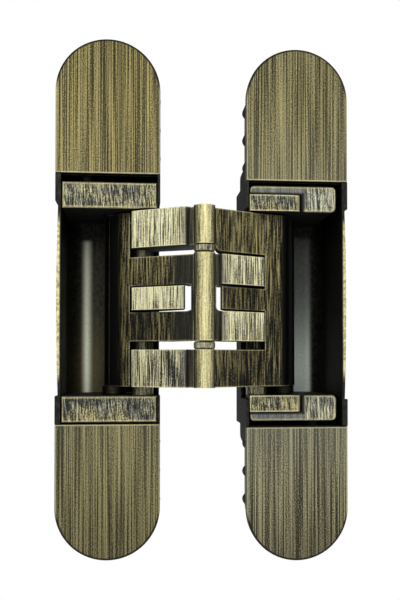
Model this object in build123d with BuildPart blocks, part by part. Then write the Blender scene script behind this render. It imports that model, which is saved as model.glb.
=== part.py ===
from build123d import *
from math import asin, atan2, cos, hypot, pi, sin
import os

# Concealed door hinge, flat open. X runs across both leaves, Y into the door and the frame, Z up.
# The origin is the middle of the frame leaf's four fixing holes, on the face that seats in the mortise.
# Depths are counted from the front of the leaves.

# Leaves, seen from the front
leaf_width = 28.0
leaf_height = 140.0
leaf_gap = 22.6
seat_depth = 15.0
step_depth = 18.5
end_wall = 4.0
outer_wall = 1.5
inner_wall = 0.7
floor_wall = 1.5
floor_radius = 5.0
back_radius = 6.0
rim_sink = 0.8
rim_flush = 0.35
rim_depth = 10.0
arm_cut_room = 2.1
recess_rim = 2.5
body_inset = 1.2
belly_overlap = 4.0
belly_corner = 5.0
belly_front = 6.0
belly_edge = 3.0

# Fixing holes and crush ribs
hole_across = 14.0
hole_apart = 112.0
hole_radius = 2.3
countersink_radius = 4.6
rib_radius = 1.8
rib_proud = 0.15
rib_front = 3.5
rib_back = 9.0
rib_spacing = 7.8
rib_start = 1.2
rib_count = 3

# Covers
cover_thickness = 2.5
cover_gap = 0.15
cover_edge = 0.5
clip_width = 7.0
clip_thickness = 1.4
clip_length = 5.0
clip_fit = 0.1

# Linkage: a fixed pivot and a sliding end in each leaf, set in from its inner edge, and a shared knuckle
pivot_inset = 4.6
pivot_depth = 8.5
slider_inset = 12.8
slider_depth = 13.0
knuckle_rise = 9.0
shut_gap = 6.4

# Travel of the adjusters, and how the door leaf is set as shown
height_travel = 1.8
sideways_travel = 1.2
door_shift = 0.8
door_drop = 1.1

# Pins, washers and bushes
knuckle_radius = 2.8
centre_pin_radius = 1.4
pivot_pin_radius = 1.7
slider_pin_radius = 1.4
pivot_tube_radius = 2.9
frame_slider_radius = 2.6
door_slider_radius = 3.4
bush_radius = 2.6
flange_radius = 3.1
centre_washer = 2.1
washer_edge = 0.4
lower_washer = 2.2
upper_washer = 0.3
pin_seat = 5.0
bush_seat = 4.2
slot_end_gap = 0.4
slot_wall = 1.0
running_clearance = 0.06
side_clearance = 0.1
slot_clearance = 0.1
sweep_clearance = 0.4

# Arms
arm_height = 47.6
knuckle_height = 10.05
finger_start = 3.6
tine_gap = 0.55
stub_gap = 0.6
tine_overhang = 3.2
finger_overhang = 1.3
tine_rise = 6.9
shoulder_inset = 4.9
shoulder_sink = 1.3
groove_step = 1.3
neck_radius = 2.2
tip_thickness = 7.0
heel_reach = 13.5
heel_lean = 2.4
plate_heel_reach = 16.3
plate_heel_lean = 7.6
band_inset = 2.9
band_sink = 3.0
band_back_inset = 0.7
band_back_sink = 2.7
crest_inset = 0.3
crest_sink = 2.2
frame_strip_inset = 2.0
door_strip_outset = 0.4
strip_rise = 7.4
strip_sink = 1.1
strip_round = 5.0
tine_round = 0.6
groove_round = 1.2
window_web = 0.5
window_round = 1.2
plate_lip = 1.3

# Carriages
carriage_height = 7.0
carriage_front = 0.3
step_front = 1.2
carriage_fit = 0.2
carriage_end_gap = 0.35
carriage_side_gap = 0.3
carriage_back_gap = 0.6
carriage_edge = 0.3
door_carriage_corner = 1.3
block_length = 14.4
block_height = 4.4
block_depth = 9.0
block_boss = 2.8
block_fit = 0.1
block_end = 2.6

# Adjusting and clamping screws
screw_radius = 2.0
screw_inset = 8.0
screw_room = 0.3
screw_reach = 3.2
screw_hole = 6.0
screw_head_radius = 3.0
screw_head = 3.0
grub_length = 6.5
socket_flats = 2.5
socket_deep = 1.8
grub_gap = 0.05

# Where the linkage's axes are: across, and in from the fronts
mirror_x = (leaf_width + leaf_gap) / 2
screw_x = screw_inset - leaf_width / 2
pivot_x = leaf_width / 2 - pivot_inset
slider_x = leaf_width / 2 - slider_inset
knuckle = (mirror_x, -knuckle_rise)
frame_pivot = (pivot_x, pivot_depth)
frame_slider = (slider_x, slider_depth)

# The swing: the knuckle turns about the fixed pivot while the other arm follows at a fixed ratio
crank_length = hypot(mirror_x - pivot_x, -knuckle_rise - pivot_depth)
crank_open = atan2(-knuckle_rise - pivot_depth, mirror_x - pivot_x)
crank_shut = -pi - asin((-shut_gap / 2 - pivot_depth) / crank_length)
follow_ratio = pi / (crank_open - crank_shut) - 1
link_length = hypot(slider_x - mirror_x, slider_depth + knuckle_rise)
link_open = atan2(slider_depth + knuckle_rise, slider_x - mirror_x)


def slider_point(share):
    """Where the frame slider's axis is when this share of the swing is done."""
    crank = crank_open + share * (crank_shut - crank_open)
    link = link_open + follow_ratio * (crank - crank_open)
    x = pivot_x + crank_length * cos(crank) + link_length * cos(link)
    depth = pivot_depth + crank_length * sin(crank) + link_length * sin(link)
    return (x, depth)


def mirrored(points):
    """The same points on the door half."""
    return [(2 * mirror_x - x, depth) for x, depth in points]


slider_path = [slider_point(share) for share in (0, 0.25, 0.5, 0.75, 1)]
door_pivot, door_slider = mirrored([frame_pivot, frame_slider])

# Heights
carriage_drop = height_travel / 2
carriage_space = arm_height + lower_washer + upper_washer + 4 * side_clearance
opening_height = carriage_space + 2 * (carriage_height + carriage_end_gap) + height_travel
box_height = opening_height + 2 * end_wall
belly_height = box_height + 2 * belly_overlap
tongue_height = bush_seat + slot_end_gap + slot_wall
deep_opening = opening_height - 2 * (carriage_height - tongue_height)
deep_height = deep_opening + 2 * floor_wall
arm_cut_height = carriage_space + height_travel
door_z = -door_drop
upper_carriage_z = carriage_space / 2 - carriage_drop
lower_carriage_z = -carriage_space / 2 - carriage_drop
carriage_top = upper_carriage_z + carriage_height
carriage_bottom = lower_carriage_z - carriage_height
arm_low = lower_carriage_z + lower_washer + 2 * side_clearance
arm_top = arm_low + arm_height
arm_mid = (arm_low + arm_top) / 2
knuckle_low = arm_low + knuckle_height
knuckle_top = arm_top - knuckle_height
middle_half = arm_height / 2 - knuckle_height - centre_washer - 2 * side_clearance
tine_half = finger_start - tine_gap
stub_half = finger_start - stub_gap
straight_end = (leaf_height - leaf_width) / 2
straight_mid = (box_height / 2 + straight_end) / 2
rib_middle = box_height / 2 + rib_start + rib_spacing

# Depths and widths
slot_seat = bush_seat + slot_end_gap
carriage_back = slider_path[-1][1] + bush_radius + slot_clearance + slot_wall
pocket_floor = carriage_back + carriage_back_gap
box_depth = pocket_floor + floor_wall
step_floor = step_depth - floor_wall
tongue_depth = step_floor - carriage_back_gap
pocket_width = leaf_width - outer_wall - inner_wall
arm_cut_depth = pivot_depth + pivot_tube_radius + arm_cut_room
screw_depth = cover_thickness + screw_room + screw_head_radius
recess_depth = screw_depth + screw_head_radius + screw_room
frame_screw_fit = screw_radius + running_clearance
door_x = 2 * mirror_x + door_shift
door_screw_x = 2 * mirror_x - screw_x
door_carriage_inner = leaf_width / 2 - inner_wall - door_shift - carriage_side_gap
door_carriage_outer = leaf_width / 2 - outer_wall + door_shift - sideways_travel - carriage_fit
block_x = 2 * mirror_x - door_carriage_inner


def plan(height):
    """Level plane whose second axis runs into the leaves from their fronts."""
    return Plane(origin=(0, -seat_depth, height), x_dir=(1, 0, 0), z_dir=(0, 0, 1))


def front(x, depth, height):
    """Plane parallel to the fronts, facing the viewer."""
    return Plane(origin=(x, depth - seat_depth, height), x_dir=(1, 0, 0), z_dir=(0, -1, 0))


with BuildLine() as frame_guide:
    ThreePointArc(*slider_path[:3])
    ThreePointArc(*slider_path[2:])

with BuildLine() as door_guide:
    ThreePointArc(*mirrored(slider_path[:3]))
    ThreePointArc(*mirrored(slider_path[2:]))

# Plan outlines of the arms, drawn on the frame half
back_x = (knuckle_rise + pivot_depth) / crank_length
back_depth = (mirror_x - pivot_x) / crank_length
tube_back = (pivot_x + pivot_tube_radius * back_x, pivot_depth + pivot_tube_radius * back_depth)
neck_back = (mirror_x + neck_radius * back_x, neck_radius * back_depth - knuckle_rise)
tine_shoulder_x = mirror_x - shoulder_inset
tine_shoulder_depth = shoulder_sink - knuckle_rise
tine_shoulder = (tine_shoulder_x, tine_shoulder_depth)
tine_groove = (tine_shoulder_x + groove_step, tine_shoulder_depth + groove_step)
tine_end_x = pivot_x - tine_overhang
finger_end_x = pivot_x - finger_overhang
tine_slope = (pivot_depth - tine_rise - tine_shoulder_depth) / (tine_shoulder_x - tine_end_x)
heel = (mirror_x - heel_lean, heel_reach - knuckle_rise)
plate_heel = (mirror_x - plate_heel_lean, plate_heel_reach - knuckle_rise)
tube_reach = (pivot_tube_radius + sweep_clearance) / crank_length
tube_edge = (
    pivot_x + tube_reach * (mirror_x - pivot_x),
    pivot_depth - tube_reach * (knuckle_rise + pivot_depth),
)
tip_back = (tine_shoulder_x, tine_shoulder_depth + tip_thickness)
stub_front = (tine_shoulder_x, tine_shoulder_depth + groove_step)
band_front = (mirror_x - band_inset, band_sink - knuckle_rise)
band_back = (mirror_x - band_back_inset, band_back_sink - knuckle_rise)
strip_corner_depth = slider_depth - strip_rise
strip_back_depth = pivot_depth + strip_sink
frame_strip = (slider_x + frame_strip_inset, strip_corner_depth)
door_strip = (slider_x - door_strip_outset, strip_corner_depth)
window_x = knuckle_radius + window_web
tip_sweep = hypot(shoulder_inset, shoulder_sink) - sweep_clearance


def tine_corner(end_x):
    """Front corner of a tine that ends there."""
    return (end_x, tine_shoulder_depth + tine_slope * (tine_shoulder_x - end_x))


def tine_outline(end_x, rest):
    """Tine from its free end to the knuckle side, closed by the other points."""
    return [frame_pivot, (end_x, pivot_depth), tine_corner(end_x), tine_shoulder] + rest


def tine_rounds(end_x):
    """Rounded corners of a tine that ends there."""
    return [(tine_corner(end_x), tine_round), (tine_shoulder, tine_round)]


def plate_crest(end_x):
    """Front corner of a sliding plate behind the free end of a tine."""
    tine_x, tine_depth = tine_corner(end_x)
    return (tine_x + crest_inset, tine_depth + crest_sink)


def strip_outline(end_x, corner, tube):
    """Full-height part of a sliding plate: from beside the tine ends to the slider tube."""
    crest_x, crest_depth = plate_crest(end_x)
    near_x = end_x - sweep_clearance
    slope = (corner[1] - crest_depth) / (corner[0] - crest_x)
    return [
        (near_x, crest_depth + slope * (near_x - crest_x)),
        corner,
        (slider_x - tube, slider_depth),
        (slider_x + tube, slider_depth),
        (near_x, strip_back_depth),
    ]


def plate_outline(end_x, corner, first, last):
    """Part of a sliding plate that reaches past the tines toward the knuckle, between two points there."""
    strip_back = (end_x - sweep_clearance, strip_back_depth)
    return [first, plate_crest(end_x), corner, frame_slider, strip_back, tube_edge, plate_heel, last]


def add_outline(sketch, points, rounds):
    """Closed outline with some of its corners rounded."""
    Polygon(*points, align=None)
    for corner, radius in rounds:
        fillet(sketch.vertices().sort_by_distance(corner)[0], radius)


def make_pocket(centre_x, centre_z):
    """The space inside a leaf's box, stepped at its ends and rounded along the floor."""
    with BuildPart() as pocket:
        with BuildSketch(front(centre_x, pocket_floor, centre_z)):
            Rectangle(pocket_width, deep_opening)
        extrude(amount=pocket_floor)
        fillet(pocket.edges().filter_by(Axis.Z).group_by(Axis.Y)[-1], floor_radius)
        with BuildSketch(front(centre_x, step_floor, centre_z)):
            Rectangle(pocket_width, opening_height)
        extrude(amount=step_floor)
    return pocket.part


def make_housing(centre_x, centre_z, side, screw_at, screw_hole_radius, screw_ends):
    """Cast leaf: slim rounded ends, a stepped deep box between them, cut open toward the arms."""
    pocket = make_pocket(centre_x + side * (outer_wall - inner_wall) / 2, centre_z)
    edge_x = side * leaf_width / 2
    rim_half = arm_cut_height / 2
    rim_ends = [(side * rim_sink - edge_x, height) for height in (-rim_half, rim_half)]
    with BuildPart() as housing:
        with BuildSketch(front(centre_x, step_depth, centre_z)):
            RectangleRounded(leaf_width, belly_height, belly_corner)
        extrude(amount=step_depth - belly_front)
        fillet(housing.faces().sort_by(Axis.Y)[-1].edges(), belly_edge)
        with BuildSketch(front(centre_x, box_depth, centre_z)):
            Rectangle(leaf_width, deep_height)
        extrude(amount=box_depth - belly_front)
        fillet(housing.edges().filter_by(Axis.Z).group_by(Axis.Y)[-1], back_radius)
        with BuildSketch(front(centre_x, seat_depth, centre_z)):
            SlotOverall(leaf_height - 2 * body_inset, leaf_width - 2 * body_inset, rotation=90)
        extrude(amount=seat_depth - cover_thickness)
        with BuildSketch(front(centre_x, seat_depth, centre_z)):
            Rectangle(leaf_width, box_height)
        extrude(amount=seat_depth - cover_thickness)
        with BuildSketch(front(centre_x, cover_thickness, centre_z)):
            Rectangle(leaf_width, opening_height)
        extrude(amount=cover_thickness)
        for end in (-1, 1):
            with BuildSketch(front(centre_x, rib_back, centre_z + end * rib_middle)):
                with GridLocations(leaf_width + 2 * (rib_proud - rib_radius), rib_spacing, 2, rib_count):
                    Circle(rib_radius)
            extrude(amount=rib_back - rib_front)
        with BuildSketch(front(centre_x, recess_depth, centre_z)):
            SlotOverall(leaf_height - 2 * recess_rim, leaf_width - 2 * recess_rim, rotation=90)
            Rectangle(leaf_width, box_height, mode=Mode.SUBTRACT)
        extrude(amount=recess_depth, mode=Mode.SUBTRACT)
        add(pocket, mode=Mode.SUBTRACT)
        with BuildSketch(front(centre_x + edge_x, arm_cut_depth, centre_z)):
            Rectangle(4 * inner_wall, arm_cut_height)
        extrude(amount=arm_cut_depth, mode=Mode.SUBTRACT)
        with BuildSketch(front(centre_x, rim_depth, centre_z)):
            with BuildLine():
                ThreePointArc(rim_ends[0], (side * rim_flush - edge_x, 0), rim_ends[1])
                Polyline(rim_ends[1], (-2 * edge_x, rim_half), (-2 * edge_x, -rim_half), rim_ends[0])
            make_face()
        extrude(amount=rim_depth, mode=Mode.SUBTRACT)
        with Locations(front(centre_x, recess_depth, centre_z)):
            with GridLocations(hole_across, hole_apart, 2, 2):
                CounterSinkHole(hole_radius, countersink_radius, seat_depth - recess_depth)
        for end in screw_ends:
            with BuildSketch(plan(centre_z + end * opening_height / 2)):
                with Locations((screw_at, screw_depth)):
                    Circle(screw_hole_radius)
            extrude(amount=end * end_wall, mode=Mode.SUBTRACT)
    return housing


def make_cover(centre_x, centre_z, end):
    """Cap over one end of a leaf, with two clips that reach into the recess."""
    inner_edge = opening_height / 2 + cover_gap
    clip_z = centre_z + end * straight_mid
    with BuildPart() as cover:
        with BuildSketch(front(centre_x, cover_thickness, centre_z)):
            SlotOverall(leaf_height, leaf_width, rotation=90)
            with Locations((0, -end * (leaf_height / 2 - inner_edge))):
                Rectangle(leaf_width, leaf_height, mode=Mode.SUBTRACT)
        extrude(amount=cover_thickness)
        fillet(cover.faces().sort_by(Axis.Y)[0].edges(), cover_edge)
        with BuildSketch(front(centre_x, cover_thickness + clip_length, clip_z)):
            with GridLocations(leaf_width - 2 * recess_rim - clip_thickness - 2 * clip_fit, 1, 2, 1):
                Rectangle(clip_thickness, clip_width)
        extrude(amount=clip_length)
    return cover


def make_frame_carriage(low, inner_z, into, screw_faces):
    """Block beside the arms with a thinner tongue behind it: a pin seat and a guide slot, both blind."""
    with BuildPart() as carriage:
        with BuildSketch(plan(low)) as outline:
            with Locations(((outer_wall - inner_wall) / 2, (carriage_front + carriage_back) / 2)):
                Rectangle(pocket_width - 2 * carriage_fit, carriage_back - carriage_front)
            fillet(outline.vertices().group_by(Axis.Y)[-1], floor_radius + carriage_fit)
        extrude(amount=carriage_height)
        chamfer(carriage.faces().sort_by(Axis.Y)[0].edges(), carriage_edge)
        with BuildSketch(plan(inner_z + into * tongue_height)):
            with Locations((0, tongue_depth)):
                Rectangle(2 * leaf_width, leaf_width, align=(Align.CENTER, Align.MIN))
        extrude(amount=into * carriage_height, mode=Mode.SUBTRACT)
        with BuildSketch(plan(inner_z)):
            with Locations(frame_pivot):
                Circle(pivot_pin_radius)
        extrude(amount=into * pin_seat, mode=Mode.SUBTRACT)
        with BuildSketch(plan(inner_z)):
            SlotArc(frame_guide.wire(), 2 * (bush_radius + slot_clearance))
        extrude(amount=into * slot_seat, mode=Mode.SUBTRACT)
        for screw_z in screw_faces:
            with BuildSketch(plan(screw_z)):
                with Locations((screw_x, screw_depth)):
                    Circle(frame_screw_fit)
            extrude(amount=-into * screw_hole, mode=Mode.SUBTRACT)
    return carriage


def make_door_carriage(low, inner_z, into):
    """Block with rounded corners and a thinner tongue, stepped for its pivot block, with a guide slot."""
    width = door_carriage_inner + door_carriage_outer
    centre_x = 2 * mirror_x + (door_carriage_outer - door_carriage_inner) / 2
    step_length = block_length + block_fit
    step_height = block_height + block_fit
    with BuildPart() as carriage:
        with BuildSketch(plan(low)) as outline:
            with Locations((centre_x, (step_front + carriage_back) / 2)):
                Rectangle(width, carriage_back - step_front)
            fillet(outline.vertices().group_by(Axis.Y)[-1], floor_radius + carriage_fit)
        extrude(amount=carriage_height)
        with BuildSketch(front(centre_x, carriage_back, low + carriage_height / 2)):
            RectangleRounded(width, carriage_height, door_carriage_corner)
        extrude(amount=carriage_back - step_front, mode=Mode.INTERSECT)
        chamfer(carriage.faces().sort_by(Axis.Y)[0].edges(), carriage_edge)
        with BuildSketch(plan(inner_z + into * tongue_height)):
            with Locations((centre_x, tongue_depth)):
                Rectangle(2 * leaf_width, leaf_width, align=(Align.CENTER, Align.MIN))
        extrude(amount=into * carriage_height, mode=Mode.SUBTRACT)
        with BuildSketch(front(block_x, block_depth + block_fit, inner_z)):
            with Locations((step_length / 2, into * step_height / 2)):
                Rectangle(step_length, step_height)
        extrude(amount=block_depth + block_fit, mode=Mode.SUBTRACT)
        with BuildSketch(plan(inner_z)):
            with Locations(door_pivot):
                Circle(block_boss + block_fit)
        extrude(amount=into * step_height, mode=Mode.SUBTRACT)
        with BuildSketch(plan(inner_z)):
            SlotArc(door_guide.wire(), 2 * (bush_radius + slot_clearance))
        extrude(amount=into * slot_seat, mode=Mode.SUBTRACT)
    return carriage


def make_pivot_block(inner_z, into):
    """Round-ended block that holds one end of the door pivot pin."""
    front_corner = (block_x + block_length, carriage_front)
    with BuildPart() as block:
        with BuildSketch(plan(inner_z)) as outline:
            with Locations((block_x + block_length / 2, (carriage_front + block_depth) / 2)):
                Rectangle(block_length, block_depth - carriage_front)
            fillet(outline.vertices().sort_by_distance(front_corner)[0], block_end)
            with Locations(door_pivot):
                Circle(block_boss)
                Circle(pivot_pin_radius, mode=Mode.SUBTRACT)
        extrude(amount=into * block_height)
    return block


def make_rod(point, radius, low, top):
    """Plain pin."""
    with BuildPart() as rod:
        with BuildSketch(plan(low)):
            with Locations(point):
                Circle(radius)
        extrude(amount=top - low)
    return rod


def make_ring(point, radius, bore, low, top, edge=0):
    """Flat washer, with its rims broken where an edge is given."""
    with BuildPart() as ring:
        with BuildSketch(plan(low)):
            with Locations(point):
                Circle(radius)
                Circle(bore, mode=Mode.SUBTRACT)
        extrude(amount=top - low)
        if edge:
            chamfer(ring.edges().group_by(SortBy.LENGTH)[-1], edge)
    return ring


def make_bush(point, flange_z, edge_z, end_z):
    """Flanged bush: the flange lies on the arm's edge, the barrel runs in a guide slot."""
    with BuildPart() as bush:
        for radius, far_z in ((flange_radius, flange_z), (bush_radius, end_z)):
            with BuildSketch(plan(edge_z)):
                with Locations(point):
                    Circle(radius)
                    Circle(slider_pin_radius, mode=Mode.SUBTRACT)
            extrude(amount=far_z - edge_z)
    return bush


def make_screw(x, low, shank_top, head_radius, top, socket_z, into):
    """Screw on end, with a hexagon socket."""
    with BuildPart() as screw:
        for radius, start, stop in ((screw_radius, low, shank_top), (head_radius, shank_top, top)):
            with BuildSketch(plan(start)):
                with Locations((x, screw_depth)):
                    Circle(radius)
            extrude(amount=stop - start)
        with BuildSketch(plan(socket_z)):
            with Locations((x, screw_depth)):
                RegularPolygon(socket_flats / 2, side_count=6, major_radius=False)
        extrude(amount=into * socket_deep, mode=Mode.SUBTRACT)
    return screw


bar_rest = [tine_groove, knuckle, neck_back, heel, tube_back]
groove_rounds = [(tine_groove, groove_round)]
finger_corners = tine_rounds(finger_end_x) + groove_rounds
finger_rounds = [(mirrored([corner])[0], radius) for corner, radius in finger_corners]
frame_rounds = [(frame_strip, strip_round)]
door_rounds = [(mirrored([door_strip])[0], strip_round)]

# Frame leaf and its carriages
frame_housing = make_housing(0, 0, 1, screw_x, frame_screw_fit, [1])
frame_upper_cover = make_cover(0, 0, 1)
frame_lower_cover = make_cover(0, 0, -1)
frame_lower_carriage = make_frame_carriage(carriage_bottom, lower_carriage_z, -1, [])
frame_upper_carriage = make_frame_carriage(upper_carriage_z, upper_carriage_z, 1, [carriage_top])

# Door leaf and its carriages
door_housing = make_housing(door_x, door_z, -1, door_screw_x, screw_radius, [-1, 1])
door_upper_cover = make_cover(door_x, door_z, 1)
door_lower_cover = make_cover(door_x, door_z, -1)
door_lower_carriage = make_door_carriage(carriage_bottom, lower_carriage_z, -1)
door_upper_carriage = make_door_carriage(upper_carriage_z, upper_carriage_z, 1)
door_lower_pivot_block = make_pivot_block(lower_carriage_z, -1)
door_upper_pivot_block = make_pivot_block(upper_carriage_z, 1)

# Arms
with BuildPart() as outer_arm:
    for low in (arm_low, knuckle_top):
        with BuildSketch(plan(low)) as bar:
            add_outline(bar, tine_outline(tine_end_x, bar_rest), tine_rounds(tine_end_x) + groove_rounds)
            with Locations(knuckle):
                Circle(knuckle_radius)
        extrude(amount=knuckle_height)
    for low, top in ((arm_low, knuckle_low), (knuckle_top - plate_lip, arm_top)):
        with BuildSketch(plan(low)) as band:
            outline = plate_outline(finger_end_x, door_strip, band_front, band_back) + [knuckle]
            add_outline(band, mirrored(outline), door_rounds)
        extrude(amount=top - low)
    with BuildSketch(front(mirror_x + window_x, 0, knuckle_top - plate_lip)):
        with Locations((plate_lip, 0)):
            Rectangle(plate_lip + 2 * window_x, plate_lip, align=(Align.MAX, Align.MIN))
        with Locations((plate_lip, plate_lip)):
            Circle(plate_lip, mode=Mode.SUBTRACT)
    extrude(amount=leaf_width, both=True, mode=Mode.SUBTRACT)
    with BuildSketch(plan(arm_mid - tine_half)) as tip:
        add_outline(tip, tine_outline(tine_end_x, [tip_back, tube_back]), tine_rounds(tine_end_x))
    extrude(amount=2 * tine_half)
    with BuildSketch(plan(arm_mid - stub_half)) as stub:
        outline = plate_outline(finger_end_x, door_strip, stub_front, tip_back)
        add_outline(stub, mirrored(outline), door_rounds)
    extrude(amount=2 * stub_half)
    with BuildSketch(plan(arm_low)) as strip:
        outline = strip_outline(finger_end_x, door_strip, door_slider_radius)
        add_outline(strip, mirrored(outline), door_rounds)
        with Locations(door_slider):
            Circle(door_slider_radius)
    extrude(amount=arm_height)
    with BuildSketch(plan(arm_low)):
        with Locations(door_pivot):
            Circle(pivot_tube_radius + sweep_clearance)
    extrude(amount=arm_height, mode=Mode.SUBTRACT)
    with BuildSketch(plan(arm_low)):
        with Locations(frame_pivot):
            Circle(pivot_tube_radius)
    extrude(amount=arm_height)
    for point, radius in (
        (knuckle, centre_pin_radius),
        (frame_pivot, pivot_pin_radius + running_clearance),
        (door_slider, slider_pin_radius),
    ):
        with BuildSketch(plan(arm_low)):
            with Locations(point):
                Circle(radius)
        extrude(amount=arm_height, mode=Mode.SUBTRACT)

with BuildPart() as inner_arm:
    with BuildSketch(plan(arm_mid - middle_half)) as finger:
        add_outline(finger, mirrored(tine_outline(finger_end_x, bar_rest)), finger_rounds)
    extrude(amount=2 * middle_half)
    with BuildSketch(plan(arm_mid - middle_half)) as band:
        outline = plate_outline(tine_end_x, frame_strip, band_front, band_back) + [knuckle]
        add_outline(band, outline, frame_rounds)
    extrude(amount=2 * middle_half)
    with BuildSketch(front(mirror_x, 0, arm_mid)):
        for side in (-1, 1):
            with Locations((side * (window_x + leaf_width / 2), 0)):
                RectangleRounded(leaf_width, 2 * finger_start, window_round)
    extrude(amount=leaf_width, both=True, mode=Mode.SUBTRACT)
    with BuildSketch(plan(arm_mid - tine_half - tine_gap / 2)):
        with Locations(knuckle):
            Circle(leaf_width)
            Circle(tip_sweep, mode=Mode.SUBTRACT)
    extrude(amount=2 * tine_half + tine_gap, mode=Mode.SUBTRACT)
    with BuildSketch(plan(arm_mid - middle_half)):
        with Locations(knuckle):
            Circle(knuckle_radius)
    extrude(amount=2 * middle_half)
    with BuildSketch(plan(arm_low)) as strip:
        add_outline(strip, strip_outline(tine_end_x, frame_strip, frame_slider_radius), frame_rounds)
        with Locations(frame_slider):
            Circle(frame_slider_radius)
    extrude(amount=arm_height)
    with BuildSketch(plan(arm_low)):
        with Locations(frame_pivot):
            Circle(pivot_tube_radius + sweep_clearance)
    extrude(amount=arm_height, mode=Mode.SUBTRACT)
    with BuildSketch(plan(arm_low)):
        with Locations(door_pivot):
            Circle(pivot_tube_radius)
    extrude(amount=arm_height)
    for point, radius in (
        (knuckle, centre_pin_radius + running_clearance),
        (door_pivot, pivot_pin_radius + running_clearance),
        (frame_slider, slider_pin_radius),
    ):
        with BuildSketch(plan(arm_low)):
            with Locations(point):
                Circle(radius)
        extrude(amount=arm_height, mode=Mode.SUBTRACT)

# Pins
centre_pin = make_rod(knuckle, centre_pin_radius, arm_low, arm_top)
frame_pivot_pin = make_rod(
    frame_pivot, pivot_pin_radius, lower_carriage_z - pin_seat, upper_carriage_z + pin_seat
)
door_pivot_pin = make_rod(
    door_pivot, pivot_pin_radius, lower_carriage_z - block_height, upper_carriage_z + block_height
)
frame_slider_pin = make_rod(
    frame_slider, slider_pin_radius, lower_carriage_z - bush_seat, upper_carriage_z + bush_seat
)
door_slider_pin = make_rod(
    door_slider, slider_pin_radius, lower_carriage_z - bush_seat, upper_carriage_z + bush_seat
)

# Washers and bushes
lower_centre_washer = make_ring(
    knuckle, knuckle_radius, centre_pin_radius, knuckle_low, knuckle_low + centre_washer, washer_edge
)
upper_centre_washer = make_ring(
    knuckle, knuckle_radius, centre_pin_radius, knuckle_top - centre_washer, knuckle_top, washer_edge
)
lower_washer_top = lower_carriage_z + lower_washer
upper_washer_low = upper_carriage_z - upper_washer
frame_lower_pivot_washer = make_ring(
    frame_pivot, pivot_tube_radius, pivot_pin_radius, lower_carriage_z, lower_washer_top
)
frame_upper_pivot_washer = make_ring(
    frame_pivot, pivot_tube_radius, pivot_pin_radius, upper_washer_low, upper_carriage_z
)
door_lower_pivot_washer = make_ring(
    door_pivot, pivot_tube_radius, pivot_pin_radius, lower_carriage_z, lower_washer_top
)
door_upper_pivot_washer = make_ring(
    door_pivot, pivot_tube_radius, pivot_pin_radius, upper_washer_low, upper_carriage_z
)
frame_lower_slider_bush = make_bush(
    frame_slider, arm_low - lower_washer, arm_low, lower_carriage_z - bush_seat
)
frame_upper_slider_bush = make_bush(
    frame_slider, arm_top + upper_washer, arm_top, upper_carriage_z + bush_seat
)
door_lower_slider_bush = make_bush(
    door_slider, arm_low - lower_washer, arm_low, lower_carriage_z - bush_seat
)
door_upper_slider_bush = make_bush(
    door_slider, arm_top + upper_washer, arm_top, upper_carriage_z + bush_seat
)

# Screws
frame_wall_top = opening_height / 2 + end_wall
frame_height_screw = make_screw(
    screw_x,
    carriage_top - screw_reach,
    frame_wall_top,
    screw_head_radius,
    frame_wall_top + screw_head,
    frame_wall_top + screw_head,
    -1,
)
door_grub_low = carriage_top + grub_gap
door_upper_clamp_screw = make_screw(
    door_screw_x,
    door_grub_low,
    door_grub_low + grub_length / 2,
    screw_radius,
    door_grub_low + grub_length,
    door_grub_low + grub_length,
    -1,
)
door_grub_top = carriage_bottom - grub_gap
door_lower_clamp_screw = make_screw(
    door_screw_x,
    door_grub_top - grub_length,
    door_grub_top - grub_length / 2,
    screw_radius,
    door_grub_top,
    door_grub_top - grub_length,
    1,
)

pieces = {
    "frame_housing": frame_housing,
    "frame_upper_cover": frame_upper_cover,
    "frame_lower_cover": frame_lower_cover,
    "frame_upper_carriage": frame_upper_carriage,
    "frame_lower_carriage": frame_lower_carriage,
    "frame_pivot_pin": frame_pivot_pin,
    "frame_upper_pivot_washer": frame_upper_pivot_washer,
    "frame_lower_pivot_washer": frame_lower_pivot_washer,
    "frame_height_screw": frame_height_screw,
    "outer_arm": outer_arm,
    "centre_pin": centre_pin,
    "upper_centre_washer": upper_centre_washer,
    "lower_centre_washer": lower_centre_washer,
    "door_slider_pin": door_slider_pin,
    "door_upper_slider_bush": door_upper_slider_bush,
    "door_lower_slider_bush": door_lower_slider_bush,
    "inner_arm": inner_arm,
    "frame_slider_pin": frame_slider_pin,
    "frame_upper_slider_bush": frame_upper_slider_bush,
    "frame_lower_slider_bush": frame_lower_slider_bush,
    "door_housing": door_housing,
    "door_upper_cover": door_upper_cover,
    "door_lower_cover": door_lower_cover,
    "door_upper_carriage": door_upper_carriage,
    "door_lower_carriage": door_lower_carriage,
    "door_upper_pivot_block": door_upper_pivot_block,
    "door_lower_pivot_block": door_lower_pivot_block,
    "door_pivot_pin": door_pivot_pin,
    "door_upper_pivot_washer": door_upper_pivot_washer,
    "door_lower_pivot_washer": door_lower_pivot_washer,
    "door_upper_clamp_screw": door_upper_clamp_screw,
    "door_lower_clamp_screw": door_lower_clamp_screw,
}

os.makedirs("parts", exist_ok=True)
for name, piece in pieces.items():
    piece.part.label = name
    export_step(piece.part, f"parts/{name}.step")
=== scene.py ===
"""Looks of a concealed door hinge in antique brushed brass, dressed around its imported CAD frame."""

import logging
import math
from dataclasses import dataclass, field
from enum import Enum
from typing import Any, Mapping, Optional, Sequence, Union

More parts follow.
